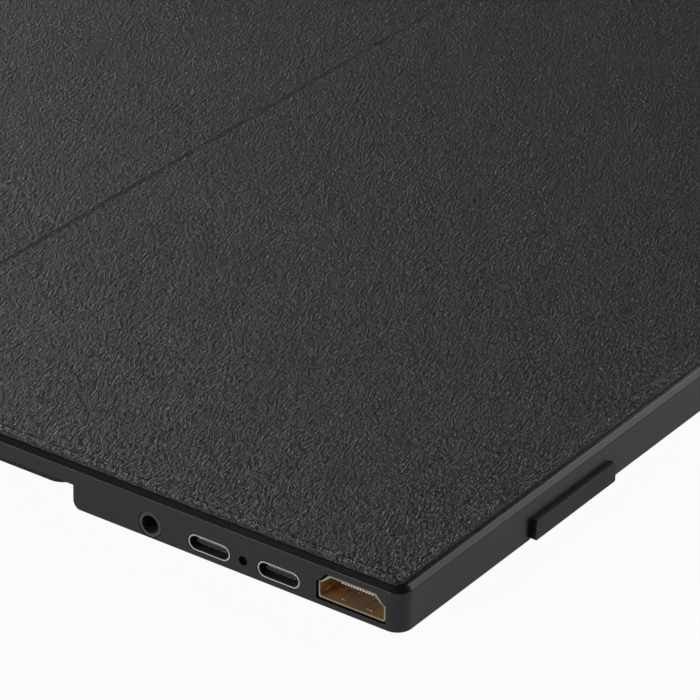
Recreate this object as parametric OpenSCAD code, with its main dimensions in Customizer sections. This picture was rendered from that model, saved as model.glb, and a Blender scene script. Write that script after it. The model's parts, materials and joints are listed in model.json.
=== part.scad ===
// Portable monitor with a folding magnetic cover, lying on its back with the cover closed.
// X runs along the long side, Y from the chin's long edge to the spine, Z out of the screen.
// Pieces are drawn from the sharp corner beside the ports and then set over the origin,
// which is the middle of the underside of the whole object's box.

/* [Body] */
// Width of the housing along its long side
body_w = 356; // [340:1:372]
// Depth of the housing from the chin's edge to the top edge
body_d = 224; // [222:1:236]
// Height of the housing over the chin, from its underside to the bezel's face
body_h = 8.68; // [8.6:0.01:8.8]
// Depth of the thick chin that holds the electronics
chin_d = 70.6; // [70:0.1:76]
// Height of the underside of the thin section over the chin's underside
thin_z = 4.76; // [4.7:0.01:4.8]
// Radius of the four vertical corners
corner_r = 3; // [2.6:0.1:4]
// Thickness of the side walls
wall_t = 1.25; // [1.1:0.05:1.3]
// Depth of the sloping rim round the top, seen from above
rim_in = 0.95; // [0.6:0.05:1]
// Height of the sloping rim
rim_drop = 0.9; // [0.6:0.05:1]

/* [Screen] */
// Width of the lit picture
active_w = 344.16; // [320:0.01:345]
// Height of the lit picture
active_d = 193.59; // [180:0.01:194]
// Width of the bezel over the picture's top edge
top_border = 6; // [5:0.1:6.5]

/* [Ports] */
// Place of the headphone socket from the chin's edge
jack_y = 53.5; // [50:0.1:56]
// Place of the upper small data socket from the chin's edge
usb_upper_y = 40.65; // [40:0.01:41]
// Place of the lower small data socket from the chin's edge
usb_lower_y = 25.74; // [25:0.01:26]
// Place of the indicator hole from the chin's edge
led_y = 33.3; // [32:0.1:34]
// Place of the video socket's middle from the chin's edge
hdmi_y = 10.56; // [10.4:0.01:10.8]

/* [Cover] */
// Thickness of the front flap
flap_t = 0.91; // [0.9:0.01:1.1]
// How far the flap's side edges stand inside the housing
flap_side_in = 0.85; // [0.8:0.05:1.5]
// How far the flap's free edge stands inside the chin's edge
flap_front_in = 1.42; // [1.2:0.01:3]
// Radius of the flap's corners
flap_r = 1.45; // [1:0.05:3]
// Place of the crease that the flap folds at
crease_y = 128; // [110:1:140]
// Thickness of the leather on the flap and the spine
leather_t = 0.36; // [0.3:0.01:0.4]
// Distance from the flap's side edges to the pressed border line
border_side_in = 1.48; // [1.2:0.02:2]
// Distance from the flap's front and spine edges to the pressed border line
border_front_in = 1.92; // [1.2:0.02:3]
// Width of the pressed border line
border_w = 0.34; // [0.2:0.02:0.6]
// How far the back panel's side edges stand inside the housing
panel_side_in = 1.5; // [1:0.1:4]
// Gap between the chin's rear wall and the back panel
panel_gap = 2.4; // [2:0.1:6]

/* [Hidden] */
$fn = 48;
over = 1; // how far a cutting solid runs past the face it cuts

// Housing
chin_floor = 1.0;
thin_floor = 0.9;
step_r = 1.8; // rounding of the chin's rear lower edge
edge_r = 0.22; // small rounding of the rim's two long edges
floor_r = 0.2; // rounding of the lower edge
bezel_t = 0.62;
bezel_gap = 0.08;
bezel_z = body_h - bezel_t;
lcd_t = 0.94;
module_x = [3, body_w - 3];
module_y = [18.3, body_d - 2.6];
module_z = thin_z + thin_floor;
rib_x = [100, 345]; // rib that carries the screen and the bezel over the chin
rib_y = [16.4, 17.6];
brace_t = 1.2; // short walls between the rib and the chin's long edge
brace_z = 6.6;
brace_pitch = 35;
post_r = 2.4; // posts under the main board
screw_r = 0.8;
screw_sink = 0.4; // depth of the screw holes in the floor
active_x0 = (body_w - active_w) / 2;
active_y1 = body_d - top_border;
active_y0 = active_y1 - active_d;

// Ports
usb_ys = [usb_upper_y, usb_lower_y];
usb_z = 2.74;
usb_w = 8.94;
usb_h = 3.16;
usb_wall = 0.26;
usb_len = 7.35;
usb_back = 1.4; // closed back of a shell
usb_recess = 1.0; // tongue behind the mouth
usb_tongue = [6.7, 0.7];
usb_pitch = 0.5;
usb_contact = [0.26, 0.04];
jack_z = 2.75;
jack_ring_r = 2.42;
jack_bore_r = 1.8;
jack_len = 14;
jack_body = [50.9, 56.1]; // sides of the socket's body along Y
port_in = 0.05; // metal shells stop this far inside the wall's face
port_gap = 0.14; // clearance round a socket in its opening
hdmi_in = 0.35; // the video socket's shell stops further inside
hdmi_z0 = 1.4;
hdmi_z1 = 6.3;
hdmi_w = 13.9;
hdmi_wall = 0.3;
hdmi_len = 11.5;
hdmi_back = 1.2;
hdmi_recess = 2.45;
hdmi_tongue_z = [4.1, 4.9];
hdmi_tongue_w = 8.6;
hdmi_gap = 0.3;
hdmi_pitch = 0.62;
hdmi_contact = [0.08, 0.32];
hdmi_slope = [2.1, 1.8]; // width and height of the narrow side's slopes
hdmi_ledge = [0.6, 0.3]; // step between a side and its slope
hdmi_spring_x = 1.4; // start of the two springs behind the port wall's face
hdmi_spring_y = 2.65; // and their places beside the socket's middle
hdmi_spring = [3.8, 1.3];
hdmi_cut = 0.18; // width of the cuts round a spring
led_r = 0.92;
led_z = 2.8;

// Electronics
pcb_z = 1.9;
pcb_t = 0.8;
board_x = [1.6, 92];
board_y = [2.4, 62];
screw_spots = [[6, 60], [88, 6], [88, 56], [22, 5]];
speaker_size = [44, 19, 3.9];
speaker_spots = [[108, 45], [286, 45]];
slot_size = [5, 1.2]; // sound slots
slot_start = [7.5, 6];
slot_pitch = [4.2, 7];
driver_x = [110, 290];
driver_y = [19, 31];
driver_z = module_z - 0.6;
ribbon_y = [20, 30];
key_ribbon_y = [37, 41];
lead_d = 1.2;

// Buttons on the side away from the ports
button_z = 3.1;
button_h = 2.6;
power_y = 54;
power_w = 8;
rocker_y = 34;
rocker_w = 20;
button_gap = 0.15;
rocker_gap = 0.3;
rocker_pivot_in = 2.6; // pivot behind the wall's outer face
key_board_x = [body_w - 5.6, body_w - 4.6];

// Rubber feet on the chin's long edge
foot_x = 39.8;
foot_w = 26.05;
foot_h = 3.9;
foot_proud = 1.1;
foot_gap = 0.2; // open line round a foot in its pocket
foot_seat = 0.35; // depth of the pocket in the wall
foot_r = 0.45; // corners of a foot, seen from the front
foot_stud_r = 1;
foot_stud_at = [0.2, 0.8]; // studs' places along a foot
foot_xs = [foot_x, body_w - foot_x - foot_w];

// Cover
flap_z0 = body_h + 0.05;
flap_z1 = flap_z0 + flap_t;
lining_t = 0.2;
board_t = flap_t - leather_t - lining_t;
flap_end_y = body_d + 0.6;
flap_edge_r = 0.3;
flap_turn_r = 0.25; // rounding of the turned-in lower edge
crease_gap = 0.1; // half of the slit between the two halves of the flap
crease_half = 0.45; // half of the pressed valley's width
crease_depth = 0.22;
border_depth = 0.16;
border_r = 1.8;
panel_t = 2.15;
panel_z0 = thin_z - panel_t;
panel_y0 = chin_d + panel_gap;
panel_leather = 0.4;
panel_lining = 0.3;
panel_r = 4;
panel_edge_r = 0.35;
spine_y = [body_d + 0.95, body_d + 2.1];
spine_z = [panel_z0 + 0.69, body_h - 0.08];
magnet_spots = [[20, 90], [90, 90], [178, 90], [266, 90], [336, 90],
    [20, 210], [90, 210], [178, 210], [266, 210], [336, 210]];
magnet_size = [20, 8, 1.0];
keeper_size = [21.6, 9.6, 0.5];
catch_xs = [40, 128, 228, 316]; // magnets that hold the flap's free edge
catch_y = [6, 10];
catch_half = 6;
catch_z0 = 7.06;
catch_gap = 0.1;

// The corner beside the ports, as seen from the origin
corner = [-body_w / 2, -(spine_y[1] - foot_proud) / 2, 0];

module placed() {
    translate(corner) children();
}

// Points of the arc that rounds corner b of a path a-b-c
function corner_arc(a, b, c, r, n) =
    let (u = (a - b) / norm(a - b), v = (c - b) / norm(c - b))
    let (half = acos(u * v) / 2, mid = b + (u + v) / norm(u + v) * r / sin(half))
    let (p = b + u * r / tan(half) - mid, q = b + v * r / tan(half) - mid)
    let (start = atan2(p[1], p[0]), turn = (atan2(q[1], q[0]) - start + 540) % 360 - 180)
    [for (i = [0:n]) mid + r * [cos(start + turn * i / n), sin(start + turn * i / n)]];

// A closed outline with each corner rounded to its own radius
function rounded(points, radii, n = 4) =
    let (count = len(points))
    [for (i = [0:count - 1])
        each radii[i] > 0
            ? corner_arc(points[(i + count - 1) % count], points[i],
                points[(i + 1) % count], radii[i], n)
            : [points[i]]];

// Draws an outline of (y, z) points and runs it along X
module along_x(x0, x1) {
    translate([x0, 0, 0]) rotate([90, 0, 90]) linear_extrude(x1 - x0) children();
}

// A flat rectangle with round corners
module round_rect(lo, hi, r) {
    translate([lo[0] + r, lo[1]]) square([hi[0] - lo[0] - 2 * r, hi[1] - lo[1]]);
    translate([lo[0], lo[1] + r]) square([hi[0] - lo[0], hi[1] - lo[1] - 2 * r]);
    for (x = [lo[0] + r, hi[0] - r], y = [lo[1] + r, hi[1] - r]) translate([x, y]) circle(r);
}

// A plate with round corners whose edge follows a profile of (inset, z) points
module edged_plate(lo, hi, r, profile) {
    last = len(profile) - 1;
    top_down = [for (i = [last:-1:0]) profile[i]];
    along_x(lo[0] + r, hi[0] - r)
        polygon(concat([for (p = profile) [lo[1] + p[0], p[1]]],
            [for (p = top_down) [hi[1] - p[0], p[1]]]));
    translate([0, hi[1] - r, 0]) rotate([90, 0, 0]) linear_extrude(hi[1] - lo[1] - 2 * r)
        polygon(concat([for (p = profile) [lo[0] + p[0], p[1]]],
            [for (p = top_down) [hi[0] - p[0], p[1]]]));
    for (x = [lo[0] + r, hi[0] - r], y = [lo[1] + r, hi[1] - r]) translate([x, y, 0])
        rotate_extrude() polygon(concat([[0, profile[0][1]]],
            [for (p = profile) [r - p[0], p[1]]], [[0, profile[last][1]]]));
}

// A box between two corners
module block(lo, hi) {
    translate(lo) cube(hi - lo);
}

function unit(v) = v / norm(v);

// The path moved sideways by d, with mitred corners
function beside(path, d) =
    let (last = len(path) - 1)
    [for (i = [0:last])
        let (a = unit(path[max(i, 1)] - path[max(i, 1) - 1]))
        let (b = unit(path[min(i, last - 1) + 1] - path[min(i, last - 1)]))
        let (along = unit(a + b))
        path[i] + [-along[1], along[0]] * d / (along * b)];

// A flat strip of even thickness along a path
module band(path, t) {
    left = beside(path, t / 2);
    right = beside(path, -t / 2);
    polygon(concat(left, [for (i = [len(right) - 1:-1:0]) right[i]]));
}

// A slot with round ends, in the (y, z) plane
module capsule(w, h) {
    for (side = [-1, 1]) translate([side * (w - h) / 2, 0]) circle(d = h);
    square([w - h, h], center = true);
}

// The outer edge of the housing from its underside to the bezel's face
rim_profile = concat(
    corner_arc([1, 0], [0, 0], [0, 4], floor_r, 3),
    corner_arc([0, 2], [0, body_h - rim_drop], [rim_in, body_h], edge_r, 3),
    corner_arc([0, body_h - rim_drop], [rim_in, body_h], [rim_in + 1, body_h], edge_r, 3));

// The video socket's outline, grown by a margin, with its narrow side up
function hdmi_outline(grow) =
    let (w = hdmi_w / 2 + grow, top = hdmi_z1 + grow, low = hdmi_z0 - grow)
    let (side = hdmi_z1 - hdmi_slope[1] + grow / 2, slope = w - hdmi_slope[0] + grow / 3)
    let (ledge = [w - hdmi_ledge[0], side + hdmi_ledge[1]])
    rounded([[-w, low], [w, low], [w, side], ledge, [slope, top], [-slope, top],
        [-ledge[0], ledge[1]], [-w, side]], [0.4, 0.4, 0.25, 0.25, 0.35, 0.35, 0.25, 0.25], 3);

module hdmi_prism(x0, x1, grow) {
    translate([0, hdmi_y, 0]) along_x(x0, x1) polygon(hdmi_outline(grow));
}

module usb_prism(x0, x1, y, grow) {
    translate([0, y, usb_z]) along_x(x0, x1) capsule(usb_w + 2 * grow, usb_h + 2 * grow);
}

module button_prism(x0, x1, y, w, h) {
    translate([0, y, button_z]) along_x(x0, x1) capsule(w, h);
}

module rear_housing() {
    inner_r = corner_r - wall_t;
    color("#303133") placed() difference() {
        union() {
            difference() {
                edged_plate([0, 0], [body_w, body_d], corner_r, rim_profile);
                // Space under the thin section, with the chin's rounded rear edge left standing
                difference() {
                    block([-over, chin_d - step_r, -over], [body_w + over, body_d + over, thin_z]);
                    block([-2 * over, chin_d - 2 * step_r, step_r],
                        [body_w + 2 * over, chin_d, thin_z + over]);
                    translate([-2 * over, chin_d - step_r, step_r]) rotate([0, 90, 0])
                        cylinder(h = body_w + 4 * over, r = step_r);
                }
                translate([0, 0, chin_floor]) linear_extrude(body_h)
                    round_rect([wall_t, wall_t], [body_w - wall_t, chin_d - wall_t], inner_r);
                translate([0, 0, module_z]) linear_extrude(body_h)
                    round_rect([wall_t, wall_t], [body_w - wall_t, body_d - wall_t], inner_r);
            }
            block([rib_x[0], rib_y[0], chin_floor], [rib_x[1], rib_y[1], bezel_z]);
            for (x = [rib_x[0]:brace_pitch:rib_x[1]])
                block([x - brace_t / 2, wall_t, chin_floor], [x + brace_t / 2, rib_y[0], brace_z]);
            for (spot = screw_spots) translate([spot[0], spot[1], chin_floor])
                cylinder(h = pcb_z - chin_floor, r = post_r);
        }
        for (spot = screw_spots) translate([spot[0], spot[1], chin_floor - screw_sink])
            cylinder(h = pcb_z, r = screw_r);
        // Socket openings
        translate([-over, jack_y, jack_z]) rotate([0, 90, 0])
            cylinder(h = wall_t + 2 * over, r = jack_ring_r + port_gap);
        block([wall_t - 0.01, jack_body[0] - 0.1, 0.35],
            [jack_len + 1.6, jack_body[1] + 0.1, chin_floor + over]);
        for (y = usb_ys) usb_prism(-over, wall_t + over, y, port_gap);
        translate([-over, led_y, led_z]) rotate([0, 90, 0]) cylinder(h = wall_t + 2 * over, r = led_r);
        hdmi_prism(-over, wall_t + over, hdmi_gap);
        // Button openings
        button_prism(body_w - wall_t - over, body_w + over, power_y,
            power_w + 2 * button_gap, button_h + 2 * button_gap);
        button_prism(body_w - wall_t - over, body_w + over, rocker_y,
            rocker_w + 2 * rocker_gap, button_h + 2 * button_gap);
        // Sound slots under the two speakers
        for (spot = speaker_spots, i = [0:7], j = [0:1])
            translate([spot[0] + slot_start[0] + i * slot_pitch[0],
                spot[1] + slot_start[1] + j * slot_pitch[1], -over])
                linear_extrude(chin_floor + 2 * over) rotate(90) capsule(slot_size[0], slot_size[1]);
        // Pockets for the steel keepers that the cover's magnets pull on
        for (spot = magnet_spots)
            block([spot[0] - keeper_size[0] / 2 - 0.2, spot[1] - keeper_size[1] / 2 - 0.2,
                module_z - keeper_size[2]],
                [spot[0] + keeper_size[0] / 2 + 0.2, spot[1] + keeper_size[1] / 2 + 0.2,
                module_z + over]);
        // Pockets and stud holes for the rubber feet
        for (x = foot_xs) {
            translate([0, foot_seat, 0]) rotate([90, 0, 0]) linear_extrude(foot_seat + over)
                round_rect([x - foot_gap, -over],
                    [x + foot_w + foot_gap, foot_h + foot_gap], foot_r + foot_gap);
            for (side = foot_stud_at) translate([x + side * foot_w, -over, foot_h / 2])
                rotate([-90, 0, 0]) cylinder(h = wall_t + 2 * over, r = foot_stud_r + 0.05);
        }
    }
}

module front_bezel() {
    inset = wall_t + bezel_gap;
    color("#2a2b2c") placed() difference() {
        union() {
            translate([0, 0, bezel_z]) linear_extrude(bezel_t)
                round_rect([inset, inset], [body_w - inset, body_d - inset], corner_r - inset);
            for (y = [4.4, 12.2]) block([24, y, 7.2], [344, y + 0.8, bezel_z]);
        }
        // The window slopes down to the glass on all four sides
        translate([active_x0, active_y0, 0]) cube([active_w, active_d, 2 * body_h]);
        window_slope();
        for (x = catch_xs) block([x - 6.2, 4, 7.05], [x + 6.2, 14, bezel_z + 0.001]);
    }
}

// Cutting solid of the bevel round the window
module window_slope() {
    slope = 0.4;
    lo = [active_x0, active_y0];
    hi = [active_x0 + active_w, active_y1];
    top = body_h + 0.01;
    for (y = [lo[1], hi[1]]) translate([0, y, 0]) along_x(lo[0] - slope, hi[0] + slope)
        polygon([[-slope, top], [0, body_h - slope], [slope, top]]);
    for (x = [lo[0], hi[0]]) translate([x, hi[1] + slope, 0]) rotate([90, 0, 0])
        linear_extrude(active_d + 2 * slope)
            polygon([[-slope, top], [0, body_h - slope], [slope, top]]);
}

module lcd_glass() {
    color("#0c0d10") placed()
        block([module_x[0] + 0.2, module_y[0] + 0.2, bezel_z - lcd_t],
            [module_x[1] - 0.2, module_y[1] - 0.2, bezel_z - 0.1]);
}

module display_adhesive() {
    color("#151515") placed() translate([0, 0, bezel_z - 0.1]) linear_extrude(0.1) difference() {
        translate([module_x[0] + 0.4, module_y[0] + 0.4])
            square([module_x[1] - module_x[0] - 0.8, module_y[1] - module_y[0] - 0.8]);
        translate([active_x0 - 0.8, active_y0 - 0.8])
            square([active_w + 1.6, active_d + 1.6]);
    }
}

module backlight_unit() {
    color("#d8dade") placed() {
        block([module_x[0], module_y[0], module_z],
            [module_x[1], module_y[1], bezel_z - lcd_t]);
    }
}

module driver_board() {
    color("#1d5a38") placed() difference() {
        block([driver_x[0], driver_y[0], driver_z], [driver_x[1], driver_y[1], module_z]);
        for (x = [driver_x[0] + 5, driver_x[1] - 5])
            translate([x, driver_y[1] - 2.5, driver_z - over]) cylinder(h = 3, r = 1);
    }
}

module panel_ribbon() {
    low = 3.3;
    high = driver_z - 0.55;
    color("#c9a24a") placed() translate([0, ribbon_y[1], 0]) rotate([90, 0, 0])
        linear_extrude(ribbon_y[1] - ribbon_y[0])
            band([[86, low], [94, low], [104, high], [112, high]], 0.16);
}

module ribbon_connectors() {
    color("#e6e2d6") placed() {
        block([80, ribbon_y[0] - 1, pcb_z + pcb_t], [86, ribbon_y[1] + 1, pcb_z + pcb_t + 1.2]);
        block([112, ribbon_y[0] - 1, driver_z - 1.1], [118, ribbon_y[1] + 1, driver_z]);
        block([84, key_ribbon_y[0] - 1, pcb_z + pcb_t], [88, key_ribbon_y[1] + 1, pcb_z + pcb_t + 1]);
    }
}

module main_board() {
    gap = 0.1;
    color("#16472e") placed() translate([0, 0, pcb_z]) linear_extrude(pcb_t) difference() {
        translate([board_x[0], board_y[0]])
            square([board_x[1] - board_x[0], board_y[1] - board_y[0]]);
        // Notches that the sockets sit in
        for (y = usb_ys) translate([0, y - usb_w / 2 - gap]) square([usb_len + 2 * gap, usb_w + 2 * gap]);
        translate([0, jack_body[0] - gap])
            square([jack_len + 1 + gap, jack_body[1] - jack_body[0] + 2 * gap]);
        translate([0, hdmi_y - hdmi_w / 2 - gap]) square([hdmi_len + 2 * gap, hdmi_w + 2 * gap]);
        translate([0, led_y - led_r - gap]) square([6.2, 2 * led_r + 2 * gap]);
        for (spot = screw_spots) translate(spot) circle(1.1);
    }
}

module board_chips() {
    top = pcb_z + pcb_t;
    color("#202226") placed() {
        block([40, 12, top], [56, 28, top + 1.2]);
        block([62, 14, top], [70, 24, top + 1]);
        block([24, 36, top], [34, 46, top + 1.1]);
        block([46, 42, top], [54, 48, top + 1]);
        for (i = [0:5]) block([62 + 3.2 * i, 50, top], [64 + 3.2 * i, 51.4, top + 0.8]);
    }
}

module board_shield() {
    top = pcb_z + pcb_t;
    wall = 0.2;
    color("#b9bbbd") placed() difference() {
        block([36, 8.5, top], [74, 31.5, top + 1.9]);
        block([36 + wall, 8.5 + wall, top - over], [74 - wall, 31.5 - wall, top + 1.9 - wall]);
        for (i = [0:5], j = [0:2])
            translate([42.5 + 5 * i, 13 + 6 * j, top]) cylinder(h = 4, r = 0.7);
    }
}

module board_screws() {
    color("#8f9194") placed() for (spot = screw_spots) translate([spot[0], spot[1], 0]) {
        difference() {
            translate([0, 0, pcb_z + pcb_t]) cylinder(h = 0.9, r = 1.9);
            for (a = [0, 90]) translate([0, 0, pcb_z + pcb_t + 0.95]) rotate(a)
                cube([2, 0.4, 0.9], center = true);
        }
        translate([0, 0, 0.7]) cylinder(h = pcb_z + pcb_t - 0.7, r = screw_r);
    }
}

module usb_port(y) {
    color("#77797c") placed() difference() {
        usb_prism(port_in, usb_len, y, 0);
        usb_prism(-over, usb_len - usb_back, y, -usb_wall);
    }
}

module usb_port_upper() {
    usb_port(usb_ys[0]);
}

module usb_port_lower() {
    usb_port(usb_ys[1]);
}

module usb_tongues() {
    color("#131314") placed() for (y = usb_ys)
        block([usb_recess, y - usb_tongue[0] / 2, usb_z - usb_tongue[1] / 2],
            [usb_len - usb_back, y + usb_tongue[0] / 2, usb_z + usb_tongue[1] / 2]);
}

module usb_contacts() {
    w = usb_contact[0];
    t = usb_contact[1];
    color("#d8d2c0") placed() for (y = usb_ys, i = [-5.5:1:5.5], side = [-1, 1]) {
        z = usb_z + side * (usb_tongue[1] + t) / 2;
        block([usb_recess + 0.02, y + i * usb_pitch - w / 2, z - t / 2],
            [usb_len - usb_back - 0.5, y + i * usb_pitch + w / 2, z + t / 2]);
    }
}

module hdmi_port() {
    w = hdmi_spring[1];
    cut = hdmi_cut;
    color("#a57c4b") placed() difference() {
        hdmi_prism(hdmi_in, hdmi_len, 0);
        hdmi_prism(-over, hdmi_len - hdmi_back, -hdmi_wall);
        // Two springs are cut free in the lower wall, open towards the mouth
        for (side = [-1, 1])
            translate([hdmi_spring_x, hdmi_y + side * hdmi_spring_y, hdmi_z0 - over]) {
                translate([0, -w / 2 - cut, 0]) cube([cut, w + 2 * cut, over + 0.5]);
                for (edge = [-w / 2 - cut, w / 2]) translate([0, edge, 0])
                    cube([hdmi_spring[0], cut, over + 0.5]);
            }
    }
}

module hdmi_tongue() {
    color("#141414") placed()
        block([hdmi_recess, hdmi_y - hdmi_tongue_w / 2, hdmi_tongue_z[0]],
            [hdmi_len - hdmi_back, hdmi_y + hdmi_tongue_w / 2, hdmi_tongue_z[1]]);
}

module hdmi_contacts() {
    w = hdmi_contact[1];
    color("#d9b36c") placed() for (i = [-5.5:1:5.5])
        block([hdmi_recess - hdmi_contact[0], hdmi_y + i * hdmi_pitch - w / 2, hdmi_tongue_z[0] + 0.1],
            [hdmi_recess, hdmi_y + i * hdmi_pitch + w / 2, hdmi_tongue_z[1]]);
}

module audio_jack() {
    color("#37383a") placed() difference() {
        union() {
            translate([port_in, jack_y, jack_z]) rotate([0, 90, 0])
                cylinder(h = wall_t + 0.15 - port_in, r = jack_ring_r);
            block([wall_t + 0.1, jack_body[0], 0.4], [jack_len + 1, jack_body[1], 5.1]);
        }
        translate([-over, jack_y, jack_z]) rotate([0, 90, 0])
            cylinder(h = jack_len + over, r = jack_bore_r);
        // Window for the tip spring
        block([9, jack_body[1] - 1.2, 2.2], [12.4, jack_body[1] + over, 3.3]);
    }
}

module jack_spring() {
    color("#c8c2b0") placed() difference() {
        block([9.1, jack_body[1] - 0.62, 2.3], [12.3, jack_body[1] + 0.08, 3.2]);
        block([9.6, jack_body[1] - 0.2, 2], [11.8, jack_body[1] + over, 4]);
    }
}

module indicator_lens() {
    color("#1b1c1e") placed() translate([wall_t - 0.4, led_y, led_z]) rotate([0, 90, 0])
        cylinder(h = 5, r = led_r - 0.04);
}

module speaker(spot) {
    z0 = chin_floor;
    size = speaker_size;
    color("#18191a") placed() translate([spot[0], spot[1], z0]) difference() {
        linear_extrude(size[2]) round_rect([0, 0], [size[0], size[1]], 2.5);
        // Sound chamber over the slots, and the cone's basin on top
        translate([0, 0, -over]) linear_extrude(over + 1)
            round_rect([5, 2.5], [size[0] - 4, size[1] - 2.5], 2);
        translate([size[0] / 2, size[1] / 2, size[2] - 0.8]) cylinder(h = 2, r = 7.5);
    }
}

module speaker_left() {
    speaker(speaker_spots[0]);
}

module speaker_right() {
    speaker(speaker_spots[1]);
}

module speaker_leads() {
    back_y = 67;
    color("#2b1414") placed() translate([0, 0, chin_floor]) linear_extrude(lead_d) {
        band([[board_x[1], 60], [97, 60], [101, back_y], [280, back_y], [284, 56],
            [speaker_spots[1][0], 56]], lead_d);
        band([[board_x[1], 50], [speaker_spots[0][0], 50]], lead_d);
    }
}

// Edge of a rubber foot, from its seat in the wall's pocket to its face
foot_profile = concat([[0, -foot_seat]],
    corner_arc([0, 0], [0, foot_proud], [1, foot_proud], 0.15, 3));

module foot_pad(x) {
    color("#242526") placed() translate([x, 0, 0]) {
        translate([0, 0, foot_h]) rotate([90, 0, 0])
            mirror([0, 1, 0]) edged_plate([0, 0], [foot_w, foot_h], foot_r, foot_profile);
        for (side = foot_stud_at) translate([side * foot_w, 0, foot_h / 2]) rotate([-90, 0, 0])
            cylinder(h = wall_t + 0.5, r = foot_stud_r);
    }
}

module foot_pad_left() {
    foot_pad(foot_xs[0]);
}

module foot_pad_right() {
    foot_pad(foot_xs[1]);
}

module bezel_magnets() {
    color("#9b9da0") placed() for (x = catch_xs)
        block([x - catch_half, catch_y[0], catch_z0], [x + catch_half, catch_y[1], bezel_z]);
}

module keeper_plates() {
    color("#85878a") placed() for (spot = magnet_spots)
        translate([spot[0], spot[1], module_z - keeper_size[2] / 2])
            cube(keeper_size, center = true);
}

module key_board() {
    color("#16472e") placed()
        block([key_board_x[0], 22, 1.2], [key_board_x[1], 62, 5.2]);
}

module key_switches() {
    x0 = key_board_x[1];
    color("#b8babd") placed() for (y = [power_y, rocker_y - 8, rocker_y + 8]) {
        block([x0, y - 1.6, button_z - 1.3], [x0 + 1, y + 1.6, button_z + 1.3]);
        translate([x0 + 1, y, button_z]) rotate([0, 90, 0]) cylinder(h = 0.3, r = 0.8);
    }
}

module key_ribbon() {
    low = chin_floor + 0.08;
    color("#c9a24a") placed() translate([0, key_ribbon_y[1], 0]) rotate([90, 0, 0])
        linear_extrude(key_ribbon_y[1] - key_ribbon_y[0])
            band([[88, 3.2], [94, 3.2], [98, low], [342, low], [346, 2.6],
                [key_board_x[0], 2.6]], 0.16);
}

rocker_x = body_w - rocker_pivot_in;

module rocker_bracket() {
    color("#2a2b2c") placed() difference() {
        union() {
            block([rocker_x - 0.9, rocker_y - 1.5, chin_floor], [rocker_x + 0.9, rocker_y + 1.5, 1.5]);
            block([rocker_x - 0.9, rocker_y - 1.5, 4.7], [rocker_x + 0.9, rocker_y + 1.5, 5.3]);
            block([rocker_x - 1.9, rocker_y - 1.5, chin_floor], [rocker_x - 1.3, rocker_y + 1.5, 5.3]);
            block([rocker_x - 1.4, rocker_y - 1.5, 4.7], [rocker_x, rocker_y + 1.5, 5.3]);
            block([rocker_x - 1.4, rocker_y - 1.5, chin_floor], [rocker_x, rocker_y + 1.5, 1.5]);
        }
        translate([rocker_x, rocker_y, 0]) cylinder(h = 8, r = 0.5);
    }
}

module rocker_pin() {
    color("#a5a7a9") placed() translate([rocker_x, rocker_y, 1.1]) cylinder(h = 4.1, r = 0.5);
}

module power_button() {
    color("#38393b") placed() union() {
        button_prism(body_w - wall_t - 0.7, body_w, power_y, power_w, button_h);
        button_prism(body_w - wall_t - 0.7, body_w - wall_t - 0.15, power_y,
            power_w + 1.2, button_h + 0.8);
        translate([body_w - wall_t - 1.45, power_y, button_z]) rotate([0, 90, 0])
            cylinder(h = 1.4, r = 0.9);
    }
}

module menu_rocker() {
    color("#38393b") placed() difference() {
        union() {
            button_prism(body_w - wall_t - 0.6, body_w, rocker_y, rocker_w, button_h);
            translate([rocker_x, rocker_y, button_z - 1.3]) cylinder(h = 2.6, r = 1.1);
            block([rocker_x, rocker_y - 1.1, button_z - 1.3],
                [body_w - wall_t - 0.3, rocker_y + 1.1, button_z + 1.3]);
            for (side = [-8, 8]) translate([body_w - 3, rocker_y + side, button_z])
                rotate([0, 90, 0]) cylinder(h = 1.6, r = 0.8);
        }
        translate([rocker_x, rocker_y, 0]) cylinder(h = 8, r = 0.55);
    }
}

// Back panel of the cover
panel_lo = [panel_side_in, panel_y0];
panel_hi = [body_w - panel_side_in, body_d];
panel_profile = concat(
    corner_arc([2, panel_z0], [0, panel_z0], [0, thin_z], panel_edge_r, 4), [[0, thin_z]]);

module back_panel_leather() {
    t = panel_leather;
    color("#1c1c1d") placed() difference() {
        edged_plate(panel_lo, panel_hi, panel_r, panel_profile);
        translate([0, 0, panel_z0 + t]) linear_extrude(panel_t)
            round_rect(panel_lo + [t, t], panel_hi - [t, t], panel_r - t);
    }
}

module back_panel_board() {
    t = panel_leather;
    color("#6e6a63") placed() difference() {
        translate([0, 0, panel_z0 + t]) linear_extrude(panel_t - t - panel_lining)
            round_rect(panel_lo + [t, t], panel_hi - [t, t], panel_r - t);
        for (spot = magnet_spots) translate([spot[0], spot[1], panel_z0 + panel_t - panel_lining - 0.5])
            cube(magnet_size, center = true);
    }
}

module back_panel_lining() {
    t = panel_leather;
    color("#232324") placed() translate([0, 0, thin_z - panel_lining])
        linear_extrude(panel_lining)
            round_rect(panel_lo + [t, t], panel_hi - [t, t], panel_r - t);
}

module cover_magnets() {
    color("#9b9da0") placed() for (spot = magnet_spots)
        translate([spot[0], spot[1], panel_z0 + panel_t - panel_lining - 0.5])
            cube(magnet_size, center = true);
}

// Spine of the cover
spine_lo = [flap_side_in, spine_y[0], spine_z[0]];
spine_hi = [body_w - flap_side_in, spine_y[1], spine_z[1]];

module spine_leather() {
    t = leather_t;
    h = spine_hi[2] - spine_lo[2];
    color("#2b2b2c") placed() difference() {
        along_x(spine_lo[0], spine_hi[0]) translate([spine_lo[1], spine_lo[2]])
            polygon(rounded([[0, 0], [spine_hi[1] - spine_lo[1], 0],
                [spine_hi[1] - spine_lo[1], h], [0, h]], [0, 0.5, 0.5, 0], 5));
        block([spine_lo[0] + t, spine_lo[1] - over, spine_lo[2] + t],
            [spine_hi[0] - t, spine_hi[1] - t, spine_hi[2] - t]);
    }
}

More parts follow.
